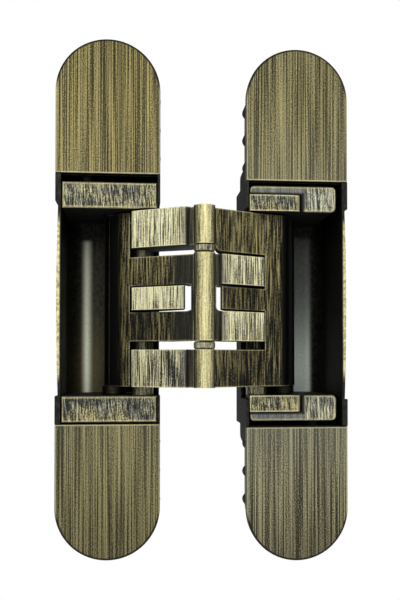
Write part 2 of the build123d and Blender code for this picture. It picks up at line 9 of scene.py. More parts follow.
import bpy
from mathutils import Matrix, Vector


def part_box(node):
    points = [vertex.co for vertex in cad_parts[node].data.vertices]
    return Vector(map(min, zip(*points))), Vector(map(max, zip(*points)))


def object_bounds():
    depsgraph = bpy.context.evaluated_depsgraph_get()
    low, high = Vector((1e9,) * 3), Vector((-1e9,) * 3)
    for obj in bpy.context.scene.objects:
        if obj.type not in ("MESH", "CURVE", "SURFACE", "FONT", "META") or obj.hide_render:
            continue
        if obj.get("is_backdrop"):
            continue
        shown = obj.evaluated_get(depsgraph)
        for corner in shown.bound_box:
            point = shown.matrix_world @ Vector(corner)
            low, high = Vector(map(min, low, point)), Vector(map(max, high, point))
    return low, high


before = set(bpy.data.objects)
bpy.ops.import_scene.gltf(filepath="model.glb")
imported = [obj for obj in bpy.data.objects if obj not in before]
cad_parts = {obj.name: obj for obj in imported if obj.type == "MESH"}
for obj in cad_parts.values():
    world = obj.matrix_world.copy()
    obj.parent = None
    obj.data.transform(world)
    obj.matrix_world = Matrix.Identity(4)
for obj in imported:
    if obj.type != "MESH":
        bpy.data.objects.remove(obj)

log = logging.getLogger("hinge")

# Red, green and blue in linear light.
Colour = tuple[float, float, float]
# Cycles of a noise per millimetre along X, Y and Z.
Grain = tuple[float, float, float]
# Where the dark, middle and light shade lie on a ramp.
Places = tuple[float, float, float]
# Where a smooth step starts and ends; lengths are in millimetres.
Span = tuple[float, float]

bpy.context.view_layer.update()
MM = 0.001
UPPER = "upper"
LOWER = "lower"
ENDS = (UPPER, LOWER)


def linear(red: int, green: int, blue: int) -> Colour:
    """Linear colour of an 8-bit display colour.

    Args:
        red: Display red, 0 to 255.
        green: Display green, 0 to 255.
        blue: Display blue, 0 to 255.

    Returns:
        The colour as the shaders take it.
    """
    def channel(level: int) -> float:
        """One channel in linear light, by the sRGB curve."""
        share = level / 255
        return share / 12.92 if share <= 0.04045 else ((share + 0.055) / 1.055) ** 2.4

    return (channel(red), channel(green), channel(blue))


class Value:
    """A number socket of a node tree; arithmetic on it adds Math nodes."""

    def __init__(self, tree: "NodeTree", socket: bpy.types.NodeSocket) -> None:
        """Wraps one output socket of a tree."""
        self.tree = tree
        self.socket = socket

    def math(self, operation: str, *others: Union["Value", float], swap: bool = False) -> "Value":
        """A Math node on this value.

        Args:
            operation: Blender's name of the operation.
            others: The other operands.
            swap: True puts this value second.

        Returns:
            The node's result.
        """
        operands: list[Union[Value, float]] = [self, *others]
        if swap:
            operands.reverse()
        node = self.tree.node(
            "ShaderNodeMath", {"operation": operation}, dict(enumerate(operands))
        )
        return Value(self.tree, node.outputs[0])

    def __add__(self, other: Union["Value", float]) -> "Value":
        """Sum."""
        return self.math("ADD", other)

    __radd__ = __add__

    def __sub__(self, other: Union["Value", float]) -> "Value":
        """Difference."""
        return self.math("SUBTRACT", other)

    def __rsub__(self, other: float) -> "Value":
        """Number less this value."""
        return self.math("SUBTRACT", other, swap=True)

    def __mul__(self, other: Union["Value", float]) -> "Value":
        """Product."""
        return self.math("MULTIPLY", other)

    def __truediv__(self, other: Union["Value", float]) -> "Value":
        """Quotient."""
        return self.math("DIVIDE", other)

    def __pow__(self, other: float) -> "Value":
        """Power."""
        return self.math("POWER", other)

    def size(self) -> "Value":
        """The value without its sign."""
        return self.math("ABSOLUTE")

    def most(self, other: Union["Value", float]) -> "Value":
        """The greater of this value and another."""
        return self.math("MAXIMUM", other)

    def clamped(self) -> "Value":
        """The value held between 0 and 1."""
        return self.most(0.0).math("MINIMUM", 1.0)

    def rising(self, low: float, high: float) -> "Value":
        """Smooth step.

        Args:
            low: Where it is still 0.
            high: Where it has reached 1.

        Returns:
            The step, 0 to 1.
        """
        node = self.tree.node(
            "ShaderNodeMapRange",
            {"interpolation_type": "SMOOTHSTEP"},
            {"Value": self, "From Min": low, "From Max": high},
        )
        return Value(self.tree, node.outputs["Result"])

    def falling(self, low: float, high: float) -> "Value":
        """Smooth step down, 1 up to the low end and 0 from the high end on."""
        return 1 - self.rising(low, high)


class NodeTree:
    """A node tree with one method that adds any node."""

    def __init__(self, tree: bpy.types.NodeTree) -> None:
        """Starts from an empty tree."""
        self.tree = tree
        tree.nodes.clear()

    def node(
        self,
        kind: str,
        settings: Optional[Mapping[str, Any]] = None,
        inputs: Optional[Mapping[Union[str, int], Any]] = None,
    ) -> bpy.types.Node:
        """Adds a node.

        Args:
            kind: Blender's type name of the node.
            settings: Properties, set first; "stops" holds a ramp's positions and colours.
            inputs: Values or links of its sockets, by name or number.

        Returns:
            The new node.
        """
        made = self.tree.nodes.new(kind)
        for name, value in (settings or {}).items():
            if name == "stops":
                self._set_stops(made, value)
            else:
                setattr(made, name, value)
        for key, value in (inputs or {}).items():
            socket = made.inputs[key]
            if isinstance(value, Value):
                self.tree.links.new(value.socket, socket)
            elif isinstance(value, bpy.types.NodeSocket):
                self.tree.links.new(value, socket)
            elif isinstance(value, tuple) and socket.type == "RGBA":
                socket.default_value = (*value, 1.0)
            else:
                socket.default_value = value
        return made

    @staticmethod
    def _set_stops(ramp: bpy.types.Node, stops: Sequence[tuple[float, Colour]]) -> None:
        """Gives a colour ramp its stops."""
        elements = ramp.color_ramp.elements
        while len(elements) < len(stops):
            elements.new(1.0)
        for element, (position, colour) in zip(elements, stops):
            element.position = position
            element.color = (*colour, 1.0)

    def value(self, socket: bpy.types.NodeSocket) -> Value:
        """Wraps an output socket for arithmetic."""
        return Value(self, socket)


class FinishTree(NodeTree):
    """Node tree of one material, with the patterns that the finishes share."""

    BEVEL_SAMPLES = 6
    OPEN_SAMPLES = 8
    EDGE_TURN: Span = (0.004, 0.06)
    FINE_GRAIN: Grain = (3.0, 3.0, 3.0)
    SPECKS: Grain = (3.4, 3.4, 2.6)
    SPECK_ROUGHNESS = 0.7
    THIN_FINENESS = 2.3
    THIN_SHORTNESS = 1.5
    BROAD_SHARE = 0.4
    THIN_SHARE = 0.6
    BRUSHED: Span = (0.36, 0.64)

    def __init__(self, name: str) -> None:
        """Starts a material of that name."""
        self.material = bpy.data.materials.new(name)
        self.material.use_nodes = True
        super().__init__(self.material.node_tree)
        places = self.node("ShaderNodeTexCoord")
        parts = self.node("ShaderNodeSeparateXYZ", None, {0: places.outputs["Object"]})
        self.across = self.value(parts.outputs["X"]) / MM
        self.depth = self.value(parts.outputs["Y"]) / MM
        self.height = self.value(parts.outputs["Z"]) / MM
        turned = self.node("ShaderNodeSeparateXYZ", None, {0: places.outputs["Normal"]})
        self.forward = self.value(turned.outputs["Y"]) * -1.0

    def noise(
        self, grain: Grain, detail: float = 2.0, rough: float = 0.5, warp: float = 0.0, lean: float = 0.0
    ) -> Value:
        """Noise with its own grain along each axis.

        Args:
            grain: Cycles per millimetre along X, Y and Z.
            detail: Octaves.
            rough: Strength of the finer octaves.
            warp: Distortion.
            lean: How far the pattern leans to the side over its height.

        Returns:
            Noise, about 0 to 1.
        """
        placed = self.node(
            "ShaderNodeCombineXYZ",
            None,
            {"X": self.across + self.height * lean, "Y": self.depth, "Z": self.height},
        )
        scaled = self.node(
            "ShaderNodeVectorMath",
            {"operation": "MULTIPLY"},
            {0: placed.outputs[0], 1: grain},
        )
        made = self.node(
            "ShaderNodeTexNoise",
            None,
            {
                "Vector": scaled.outputs[0],
                "Scale": 1.0,
                "Detail": detail,
                "Roughness": rough,
                "Distortion": warp,
            },
        )
        return self.value(made.outputs[0])

    def fine_grain(self) -> Value:
        """Even grain, the same along every axis."""
        return self.noise(self.FINE_GRAIN)

    def brushing(self, fine: float, length: float, grain: float = 0.25) -> Value:
        """Streaks along the height, over a fine grain.

        Args:
            fine: Broad streaks per millimetre; finer ones run between them.
            length: Length of a streak in millimetres.
            grain: Share of the grain.

        Returns:
            Streaks, 0 dark to 1 bright.
        """
        thin_fine = fine * self.THIN_FINENESS
        broad = self.noise((fine, fine, 1 / length), detail=1.0)
        thin = self.noise((thin_fine, thin_fine, self.THIN_SHORTNESS / length), detail=1.0)
        specks = self.noise(self.SPECKS, rough=self.SPECK_ROUGHNESS)
        lines = broad * self.BROAD_SHARE + thin * self.THIN_SHARE
        return (lines * (1 - grain) + specks * grain).rising(*self.BRUSHED)

    def edges(self, width: float) -> Value:
        """Mask of edges and corners, from how much a rounding would turn the surface.

        Args:
            width: Reach of the mask from an edge in millimetres.

        Returns:
            0 on a plain face, 1 on an edge.
        """
        plain = self.node("ShaderNodeNewGeometry")
        turn = self.node(
            "ShaderNodeVectorMath",
            {"operation": "DOT_PRODUCT"},
            {0: self._rounded(width), 1: plain.outputs["Normal"]},
        )
        return (1 - self.value(turn.outputs["Value"])).rising(*self.EDGE_TURN)

    def _rounded(self, radius: float) -> bpy.types.NodeSocket:
        """Normal of the surface with its edges rounded to a radius in millimetres."""
        bevel = self.node("ShaderNodeBevel", {"samples": self.BEVEL_SAMPLES}, {"Radius": radius * MM})
        return bevel.outputs[0]

    def openness(self, reach: float) -> Value:
        """How open the surface lies.

        Args:
            reach: How far it looks for neighbours, in millimetres.

        Returns:
            0 in a crevice, 1 on an open face.
        """
        made = self.node(
            "ShaderNodeAmbientOcclusion", {"samples": self.OPEN_SAMPLES}, {"Distance": reach * MM}
        )
        return self.value(made.outputs["AO"])

    def mix(self, share: Union[Value, float], first: Any, second: Any) -> bpy.types.NodeSocket:
        """Mixes two colours.

        Args:
            share: Share of the second colour.
            first: Colour or colour socket.
            second: Colour or colour socket.

        Returns:
            The mixed colour.
        """
        made = self.node(
            "ShaderNodeMix", {"data_type": "RGBA"}, {0: share, 6: first, 7: second}
        )
        return made.outputs[2]

    def ramp(self, share: Value, stops: Sequence[tuple[float, Colour]]) -> bpy.types.NodeSocket:
        """Colour ramp over a value."""
        return self.node("ShaderNodeValToRGB", {"stops": stops}, {0: share}).outputs[0]

    def finish(
        self,
        colour: Any,
        roughness: Union[Value, float],
        metallic: Union[Value, float],
        bump: Value,
        bump_height: float,
        round_edge: float = 0.2,
    ) -> bpy.types.Material:
        """Closes the tree with a metal surface.

        Args:
            colour: Base colour.
            roughness: Roughness.
            metallic: How metallic it is.
            bump: Height pattern, 0 to 1.
            bump_height: Height of the pattern in millimetres.
            round_edge: Radius in millimetres that the edges seem rounded to.

        Returns:
            The material.
        """
        raised = self.node(
            "ShaderNodeBump",
            None,
            {
                "Strength": 1.0,
                "Distance": bump_height * MM,
                "Height": bump,
                "Normal": self._rounded(round_edge),
            },
        )
        surface = {
            "Base Color": colour,
            "Roughness": roughness,
            "Metallic": metallic,
            "Normal": raised.outputs[0],
        }
        shader = self.node("ShaderNodeBsdfPrincipled", None, surface)
        self.node("ShaderNodeOutputMaterial", None, {"Surface": shader.outputs[0]})
        return self.material


@dataclass(frozen=True)
class Shades:
    """Shades of one brushed metal, from the bottom of its brush lines to the top."""

    dark: Colour
    middle: Colour
    light: Colour

    def stops(self, places: Places) -> list[tuple[float, Colour]]:
        """The shades as stops of a colour ramp."""
        return list(zip(places, (self.dark, self.middle, self.light)))


@dataclass(frozen=True)
class CoverLook:
    """Shades of one cover, how much darker its curved end turns and how much greyer its inner end."""

    brass: Shades
    darkening: float
    hazed: float


@dataclass(frozen=True)
class Plating:
    """Shades of a carriage where it is grey and where its brass shows."""

    grey: Shades
    brass: Shades


@dataclass(frozen=True)
class CoverFinish:
    """Antique brass, brushed lengthwise and darker toward its curved end, with a painted highlight along
    its straight edges and a painted shade outline round its curved end and on its sides.
    """

    name: str
    look: CoverLook
    middle_x: float
    centre_z: float
    inner_z: float
    radius: float
    upward: float
    wear_and_highlight: Colour = linear(244, 236, 190)
    haze: Colour = linear(124, 124, 112)
    side: Colour = linear(38, 35, 24)
    streaks: float = 2.2
    streak_length: float = 70.0
    grain_share: float = 0.34
    shade_places: Places = (0.26, 0.5, 0.74)
    haze_span: Span = (-32.0, 2.0)
    darken_start: float = -15.0
    curve_blend: float = 4.0
    flank_width: float = 0.5
    flank_strength: float = 0.6
    sill_span: Span = (0.2, 0.5)
    rim_least: float = 0.2
    outline: float = 0.8
    facing: Span = (0.3, 0.7)
    roughness: float = 0.58
    line_polish: float = 0.08
    metallic: float = 0.8
    relief: float = 0.02

    def make(self) -> bpy.types.Material:
        """Builds the material."""
        tree = FinishTree(self.name)
        streaks = tree.brushing(self.streaks, self.streak_length, self.grain_share)
        body = tree.ramp(streaks, self.look.brass.stops(self.shade_places))
        rise = (tree.height - self.centre_z) * self.upward
        body = tree.mix(rise.falling(*self.haze_span) * self.look.hazed, body, self.haze)
        # Darker toward the curved end; the greater darkening on the lower covers is painted shade.
        body = tree.mix(rise.rising(self.darken_start, self.radius) * self.look.darkening, body, self.side)
        curved = rise.rising(0.0, self.curve_blend)
        out = ((tree.across - self.middle_x) ** 2.0 + rise.most(0.0) ** 2.0) ** 0.5
        # Painted highlight along the straight edges, where their rounding would catch the light.
        flanks = out.rising(self.radius - self.flank_width, self.radius - self.flank_width / 2)
        flanks = flanks * (1 - curved) * self.flank_strength
        sill = ((tree.height - self.inner_z) * self.upward).falling(*self.sill_span)
        rim = sill.most(flanks) * (self.rim_least + tree.fine_grain())
        colour = tree.mix(rim.clamped(), body, self.wear_and_highlight)
        # Painted shade: a dark outline round the curved end and dark side faces.
        ring = out.rising(self.radius - self.outline, self.radius - self.outline / 2) * curved
        colour = tree.mix(ring, colour, self.side)
        colour = tree.mix(tree.forward.rising(*self.facing), self.side, colour)
        roughness = self.roughness - streaks * self.line_polish
        return tree.finish(colour, roughness, self.metallic, streaks, self.relief)


@dataclass(frozen=True)
class ArmFinish:
    """Blackened brass, brushed bright on the tines and left dark on the plates behind them; crevices,
    undersides and faces turned away from the front are painted black as shade, and the knuckle carries a
    painted highlight.
    """

    name: str
    bright_side: float
    middle_x: float
    bareness: float
    black: Colour = linear(14, 13, 12)
    plate: Shades = Shades(linear(20, 19, 16), linear(51, 48, 35), linear(160, 149, 101))
    tine: Shades = Shades(linear(44, 43, 40), linear(194, 189, 152), linear(255, 250, 204))
    bare: Colour = linear(42, 42, 37)
    flank: Colour = linear(96, 90, 60)
    crown_highlight: Colour = linear(250, 240, 180)
    wear_and_highlight: Colour = linear(255, 247, 190)
    flute_shade: Colour = linear(84, 86, 88)
    plate_places: Places = (0.18, 0.49, 0.82)
    tine_places: Places = (0.22, 0.5, 0.74)
    streaks: float = 2.6
    streak_length: float = 11.0
    drift: Grain = (0.16, 0.16, 0.03)
    drift_strength: float = 0.5
    left_span: Span = (-6.0, 0.0)
    right_span: Span = (0.0, 6.0)
    right_share: float = 0.4
    strip_span: Span = (-20.5, -18.5)
    plate_shade_span: Span = (-20.0, 16.0)
    plate_painted_shade: float = 0.32
    tine_shade_span: Span = (-20.0, -3.0)
    tine_painted_shade: float = 0.15
    middle_tine: Span = (4.0, 7.0)
    middle_brightening: float = 0.12
    flute_span: Span = (4.4, 7.2)
    flute_strength: float = 0.8
    root_span: Span = (3.6, 5.4)
    root_strength: float = 0.85
    bare_span: Span = (7.7, 10.2)
    bare_ragged: float = 1.5
    far_shade_span: Span = (21.6, 23.2)
    barrel_span: Span = (2.65, 2.95)
    crown_span: Span = (0.2, 2.4)
    crown_strength: float = 0.8
    barrel_lines: float = 0.4
    barrel_grain: float = 0.6
    barrel_middle: float = 0.47
    barrel_contrast: float = 2.0
    edge: float = 0.6
    edge_contrast: float = 3.0
    edge_least: float = 0.7
    edge_open: Span = (0.6, 0.9)
    plate_edge: float = 0.5
    open_reach: float = 3.0
    open_span: Span = (0.25, 0.75)
    facing: Span = (0.35, 0.7)
    roughness: float = 0.75
    polish: float = 0.29
    line_polish: float = 0.1
    metallic_least: float = 0.1
    metallic_gain: float = 0.75
    relief: float = 0.03

    def _left(self, off: Value) -> Value:
        """Mask of what lies left of the knuckle."""
        return off.falling(*self.left_span)

    def _plates(self, tree: FinishTree, tone: Value, off: Value) -> bpy.types.NodeSocket:
        """Colour of the plates: dark, with painted shade toward their lower end and painted black shade
        on their far ends, bare beside the knuckle.

        Args:
            tree: Tree of the material.
            tone: Brushing, 0 dark to 1 bright.
            off: Millimetres right of the knuckle's axis.

        Returns:
            The colour.
        """
        away = off.size()
        left = self._left(off) * off.rising(*self.strip_span)
        sides = left + off.rising(*self.right_span) * self.right_share
        # Painted shade: the plates turn darker toward their lower end, as under light from above.
        shaded = tree.height.falling(*self.plate_shade_span) * sides
        plates = tree.ramp(tone - shaded * self.plate_painted_shade, self.plate.stops(self.plate_places))
        bare = (away + tone * self.bare_ragged).falling(*self.bare_span)
        plates = tree.mix(bare * self.bareness, plates, self.bare)
        # Painted black shade on the plates' far ends, which turn away from the light.
        return tree.mix(away.rising(*self.far_shade_span), plates, self.black)

    def _tines(self, tree: FinishTree, tone: Value, off: Value) -> bpy.types.NodeSocket:
        """Colour of the tines: bright, with painted shade in the grey flute and on the dim root beside
        the knuckle, and toward their lower end.

        Args:
            tree: Tree of the material.
            tone: Brushing, 0 dark to 1 bright.
            off: Millimetres right of the knuckle's axis.

        Returns:
            The colour.
        """
        away = off.size()
        # Painted shade: the lower tines turn darker, as under light from above.
        low_shade = tree.height.falling(*self.tine_shade_span) * self.tine_painted_shade
        # The middle tine on the left is made brighter.
        brightened = tree.height.size().falling(*self.middle_tine) * self._left(off) * self.middle_brightening
        tines = tree.ramp(tone - low_shade + brightened, self.tine.stops(self.tine_places))
        # Painted shade in the concave flute and on the root beside the knuckle.
        tines = tree.mix(away.falling(*self.flute_span) * self.flute_strength, tines, self.flute_shade)
        root_shade = tree.mix(tone, self.plate.dark, self.flank)
        return tree.mix(away.falling(*self.root_span) * self.root_strength, tines, root_shade)

    def _barrel(self, tree: FinishTree, streaks: Value, grain: Value, off: Value) -> bpy.types.NodeSocket:
        """Colour of the knuckle: a painted highlight along its crown, with darker flanks.

        Args:
            tree: Tree of the material.
            streaks: Brushing, 0 dark to 1 bright.
            grain: Fine grain, about 0 to 1.
            off: Millimetres right of the knuckle's axis.

        Returns:
            The colour.
        """
        # Painted highlight down the knuckle's crown, where the lamps in front shine back; the flanks stay
        # darker.
        crown = off.size().falling(*self.crown_span) * self.crown_strength
        marks = streaks * self.barrel_lines + grain * self.barrel_grain - self.barrel_middle
        brightened = crown + marks * self.barrel_contrast
        return tree.mix(brightened.clamped(), self.flank, self.crown_highlight)

    def make(self) -> bpy.types.Material:
        """Builds the material."""
        tree = FinishTree(self.name)
        streaks = tree.brushing(self.streaks, self.streak_length)
        grain = tree.fine_grain()
        drift = tree.noise(self.drift, detail=1.0) - 0.5
        tone = (streaks + drift * self.drift_strength).clamped()
        off = tree.across - self.middle_x
        on_tines = (off * self.bright_side).rising(0.0, 1.0)
        body = tree.mix(on_tines, self._plates(tree, tone, off), self._tines(tree, tone, off))
        barrel = off.size().falling(*self.barrel_span)
        body = tree.mix(barrel, body, self._barrel(tree, streaks, grain, off))
        open_share = tree.openness(self.open_reach)
        wear = tree.edges(self.edge) * open_share.rising(*self.edge_open)
        wear = wear * (grain * self.edge_contrast - self.edge_least)
        wear = wear * (self.plate_edge + on_tines * (1 - self.plate_edge))
        colour = tree.mix(wear.clamped(), body, self.wear_and_highlight)
        # Painted shade: crevices, undersides and faces turned away from the front go black.
        unshaded_share = open_share.rising(*self.open_span) * tree.forward.rising(*self.facing)
        colour = tree.mix(unshaded_share, self.black, colour)
        roughness = self.roughness - unshaded_share * (self.polish + streaks * self.line_polish)
        metallic = self.metallic_least + unshaded_share * self.metallic_gain
        return tree.finish(colour, roughness, metallic, streaks, self.relief)


@dataclass(frozen=True)
class Patch:
    """Upright rectangle seen from the front, by two opposite corners in millimetres."""

    low_x: float
    low_z: float
    high_x: float
    high_z: float

    @classmethod
    def of(cls, node: str) -> "Patch":
        """The rectangle that a CAD node covers, seen from the front."""
        low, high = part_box(node)
        return cls(low.x / MM, low.z / MM, high.x / MM, high.z / MM)

    def away(self, tree: FinishTree) -> Value:
        """Distance outside the rectangle.

        Args:
            tree: Tree whose position is measured.

        Returns:
            Millimetres past its sides, the greater of across and up, 0 inside.
        """
        aside = (tree.across - self.high_x).most(self.low_x - tree.across).most(0.0)
        above = (tree.height - self.high_z).most(self.low_z - tree.height).most(0.0)
        return aside.most(above)


@dataclass(frozen=True)
class CarriageFinish:
    """Grey blackened metal, brass showing through in ragged strokes and along the front edges; painted
    shade in crevices, round the blocks and on faces turned away from the front, and a painted highlight
    on a block's rounded end.
    """

    name: str
    plating: Plating
    blocks: tuple[Patch, ...] = ()
    highlight_from: Optional[float] = None
    black: Colour = linear(14, 14, 13)
    step: Colour = linear(104, 108, 105)
    wear_and_highlight: Colour = linear(240, 230, 176)
    shade_places: Places = (0.05, 0.5, 0.95)
    strokes: Grain = (3.8, 3.8, 0.26)
    stroke_warp: float = 0.1
    stroke_lean: float = 0.06
    stroke_share: float = 0.52
    specks: Grain = (4.2, 4.2, 2.2)
    speck_roughness: float = 0.7
    speck_lean: float = -0.1
    speck_share: float = 0.36
    patches: Grain = (0.14, 0.14, 0.2)
    patch_lean: float = 0.4
    patch_share: float = 0.12
    tone_span: Span = (0.41, 0.61)
    brass_span: Span = (0.34, 0.66)
    step_start: float = 0.6
    step_end: float = 1.6
    step_strength: float = 1.1
    step_specks: float = 0.6
    highlight_blend: float = 1.2
    highlight_least: float = 0.35
    highlight_specks: float = 0.8
    edge: float = 0.8
    edge_least: float = 0.45
    edge_span: Span = (0.1, 0.6)
    shadow: Span = (0.45, 1.1)
    facing: Span = (0.4, 0.75)
    open_reach: float = 1.5
    open_span: Span = (0.3, 0.7)
    roughness: float = 0.7
    polish: float = 0.18
    line_polish: float = 0.1
    metallic_least: float = 0.2
    metallic_gain: float = 0.6
    relief: float = 0.03

    def make(self) -> bpy.types.Material:
        """Builds the material."""
        tree = FinishTree(self.name)
        strokes = tree.noise(self.strokes, warp=self.stroke_warp, lean=self.stroke_lean)
        specks = tree.noise(self.specks, rough=self.speck_roughness, lean=self.speck_lean)
        patches = tree.noise(self.patches, lean=self.patch_lean)
        marks = strokes * self.stroke_share + specks * self.speck_share + patches * self.patch_share
        tone = marks.rising(*self.tone_span)
        grey = tree.ramp(tone, self.plating.grey.stops(self.shade_places))
        brass = tree.ramp(tone, self.plating.brass.stops(self.shade_places))
        body = tree.mix(patches.rising(*self.brass_span), grey, brass)
        if self.blocks:
            end = self.blocks[0].high_x
            stepped = tree.across.falling(end + self.step_start, end + self.step_end)
            body = tree.mix(stepped * (self.step_strength - specks * self.step_specks), body, self.step)
        # Painted highlight in pale brass on a block's rounded end.
        if self.highlight_from is not None:
            brightened = tree.across.rising(self.highlight_from, self.highlight_from + self.highlight_blend)
            brightened = brightened * (self.highlight_least + specks * self.highlight_specks)
            body = tree.mix(brightened, body, self.plating.brass.light)
        wear = tree.edges(self.edge) * (strokes + specks - self.edge_least).rising(*self.edge_span)
        colour = tree.mix(wear.clamped(), body, self.wear_and_highlight)
        # Painted shade: crevices, the ring round each block and faces turned away from the front go
        # black.
        unshaded_share = tree.forward.rising(*self.facing)
        unshaded_share = unshaded_share * tree.openness(self.open_reach).rising(*self.open_span)
        for block in self.blocks:
            unshaded_share = unshaded_share * block.away(tree).rising(*self.shadow)
        colour = tree.mix(unshaded_share, self.black, colour)
        roughness = self.roughness - unshaded_share * (self.polish + tone * self.line_polish)
        metallic = self.metallic_least + unshaded_share * self.metallic_gain
        return tree.finish(colour, roughness, metallic, tone, self.relief)


@dataclass(frozen=True)
class Stripe:
    """A painted highlight (a painted reflection of the lamps) on a pocket floor, strongest at its lower
    end; it fades upward and stops at its top, as painted shade under the carriage.
    """

    colour: Colour
    middle: float
    half: float
    soft: float
    top: float
    strength: float
    top_share: float


@dataclass(frozen=True)
class HousingFinish:
    """Blackened satin casting with painted highlight stripes inside; its outer rim is rubbed back to
    brass.
    """

    name: str
    front: float
    middle_x: float
    stripes: tuple[Stripe, ...]
    black: Colour = linear(15, 15, 14)
    sheen: Colour = linear(49, 49, 42)
    wear_and_highlight: Colour = linear(240, 230, 168)
    mottle: Grain = (1.1, 1.1, 0.8)
    mottle_span: Span = (0.3, 0.75)
    ragged: Grain = (1.3, 1.3, 1.3)
    ragged_roughness: float = 0.7
    ragged_span: Span = (0.35, 0.6)
    coarse_detail: float = 3.0
    facing: Span = (0.1, 0.4)
    outside_span: Span = (13.2, 13.6)
    outside_dark: float = 0.7
    outside_rough: float = 0.38
    floor_span: Span = (20.0, 23.0)
    stripe_span: Span = (-24.0, 24.0)
    stripe_fall: float = 3.0
    stripe_peak: float = 2.0
    stripe_end: Span = (-0.6, 0.8)
    stripe_least: float = 0.6
    stripe_grain: float = 0.8
    rim_depth: Span = (0.1, 1.2)
    rim_facing: Span = (0.5, 0.8)
    rim_height: Span = (19.0, 23.0)
    rim_span: Span = (12.6, 13.0)
    rim_least: float = 0.4
    roughness: float = 0.42
    grain_rough: float = 0.12
    metallic: float = 0.7
    relief: float = 0.012

    def _stripe(self, tree: FinishTree, stripe: Stripe, grain: Value) -> Value:
        """Share of one stripe's colour.

        Args:
            tree: Tree of the material.
            stripe: The stripe.
            grain: Fine grain, about 0 to 1.

        Returns:
            The share, before the pocket's own limits.
        """
        off = (tree.across - stripe.middle).size()
        near = off.falling(stripe.half - stripe.soft, stripe.half + stripe.soft) ** self.stripe_peak
        low_end, high_end = self.stripe_end
        # Painted shade under the carriage: the stripe stops above its top and fades upward.
        below = tree.height.falling(stripe.top + low_end, stripe.top + high_end)
        fall = tree.height.falling(*self.stripe_span) ** self.stripe_fall
        level = fall * (1 - stripe.top_share) + stripe.top_share
        return near * below * level * (self.stripe_least + grain * self.stripe_grain) * stripe.strength

    def make(self) -> bpy.types.Material:
        """Builds the material."""
        tree = FinishTree(self.name)
        mottle = tree.noise(self.mottle, detail=self.coarse_detail).rising(*self.mottle_span)
        grain = tree.fine_grain()
        ragged = tree.noise(self.ragged, detail=self.coarse_detail, rough=self.ragged_roughness)
        facing = tree.forward.rising(*self.facing)
        aside = (tree.across - self.middle_x).size()
        outside = aside.rising(*self.outside_span) * (1 - facing)
        body = tree.mix(mottle * (1 - outside * self.outside_dark), self.black, self.sheen)
        depth = tree.depth - self.front
        inside = depth.rising(*self.floor_span) * facing
        # Painted highlight stripes on the pocket floor.
        for stripe in self.stripes:
            share = self._stripe(tree, stripe, grain) * inside
            body = tree.mix(share.clamped(), body, stripe.colour)
        rim = depth.falling(*self.rim_depth) * tree.forward.rising(*self.rim_facing)
        rim = rim * tree.height.size().falling(*self.rim_height) * aside.rising(*self.rim_span)
        rim = rim * (self.rim_least + ragged.rising(*self.ragged_span) * (1 - self.rim_least))
        colour = tree.mix(rim, body, self.wear_and_highlight)
        roughness = self.roughness + outside * self.outside_rough + grain * self.grain_rough
        return tree.finish(colour, roughness, self.metallic, grain, self.relief)


@dataclass(frozen=True)
class PlainMetalFinish:
    """Turned metal of pins, washers, bushes and screws."""

    name: str
    dark: Colour
    light: Colour
    roughness: float
    grooves: Grain = (0.4, 0.4, 7.0)
    groove_share: float = 0.6
    grain_share: float = 0.4
    light_span: Span = (0.3, 0.7)
    grain_rough: float = 0.1
    metallic: float = 0.95
    relief: float = 0.008

    def make(self) -> bpy.types.Material:
        """Builds the material."""
        tree = FinishTree(self.name)
        grooves = tree.noise(self.grooves)
        grain = tree.fine_grain()
        light = (grooves * self.groove_share + grain * self.grain_share).rising(*self.light_span)
        colour = tree.mix(light, self.dark, self.light)
        roughness = self.roughness + grain * self.grain_rough
        return tree.finish(colour, roughness, self.metallic, grooves, self.relief)


def dress(node: str, material: bpy.types.Material) -> None:
    """Gives a CAD node one material.

    Args:
        node: Name of the node.
        material: Its finish.
    """
    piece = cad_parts[node]
    piece.data.materials.clear()
    piece.data.materials.append(material)
    log.info("%s: %s", node, material.name)


class Side(Enum):
    """The two halves of the hinge."""

    FRAME = "frame"
    DOOR = "door"


# The lower covers darken more than the upper ones: painted shade, as under light from above.
COVER_LOOKS: Mapping[Side, Mapping[str, CoverLook]] = {
    Side.FRAME: {
        UPPER: CoverLook(
            Shades(linear(59, 53, 34), linear(105, 97, 64), linear(180, 168, 110)), darkening=0.26, hazed=0.1
        ),
        LOWER: CoverLook(
            Shades(linear(54, 50, 34), linear(100, 94, 67), linear(170, 161, 114)), darkening=0.32, hazed=0.15
        ),
    },
    Side.DOOR: {
        UPPER: CoverLook(
            Shades(linear(59, 54, 37), linear(109, 103, 73), linear(184, 174, 124)), darkening=0.22, hazed=0.3
        ),
        LOWER: CoverLook(
            Shades(linear(55, 52, 39), linear(107, 104, 80), linear(188, 182, 142)), darkening=0.48, hazed=0.45
        ),
    },
}
DARK_PLATING = Plating(
    grey=Shades(linear(40, 42, 39), linear(98, 100, 92), linear(186, 183, 154)),
    brass=Shades(linear(44, 43, 34), linear(116, 111, 84), linear(214, 204, 152)),
)
PALE_PLATING = Plating(
    grey=Shades(linear(58, 59, 54), linear(156, 156, 140), linear(224, 222, 194)),
    brass=Shades(linear(58, 57, 48), linear(168, 164, 138), linear(234, 227, 182)),
)
CARRIAGE_PLATING = {Side.FRAME: DARK_PLATING, Side.DOOR: PALE_PLATING}


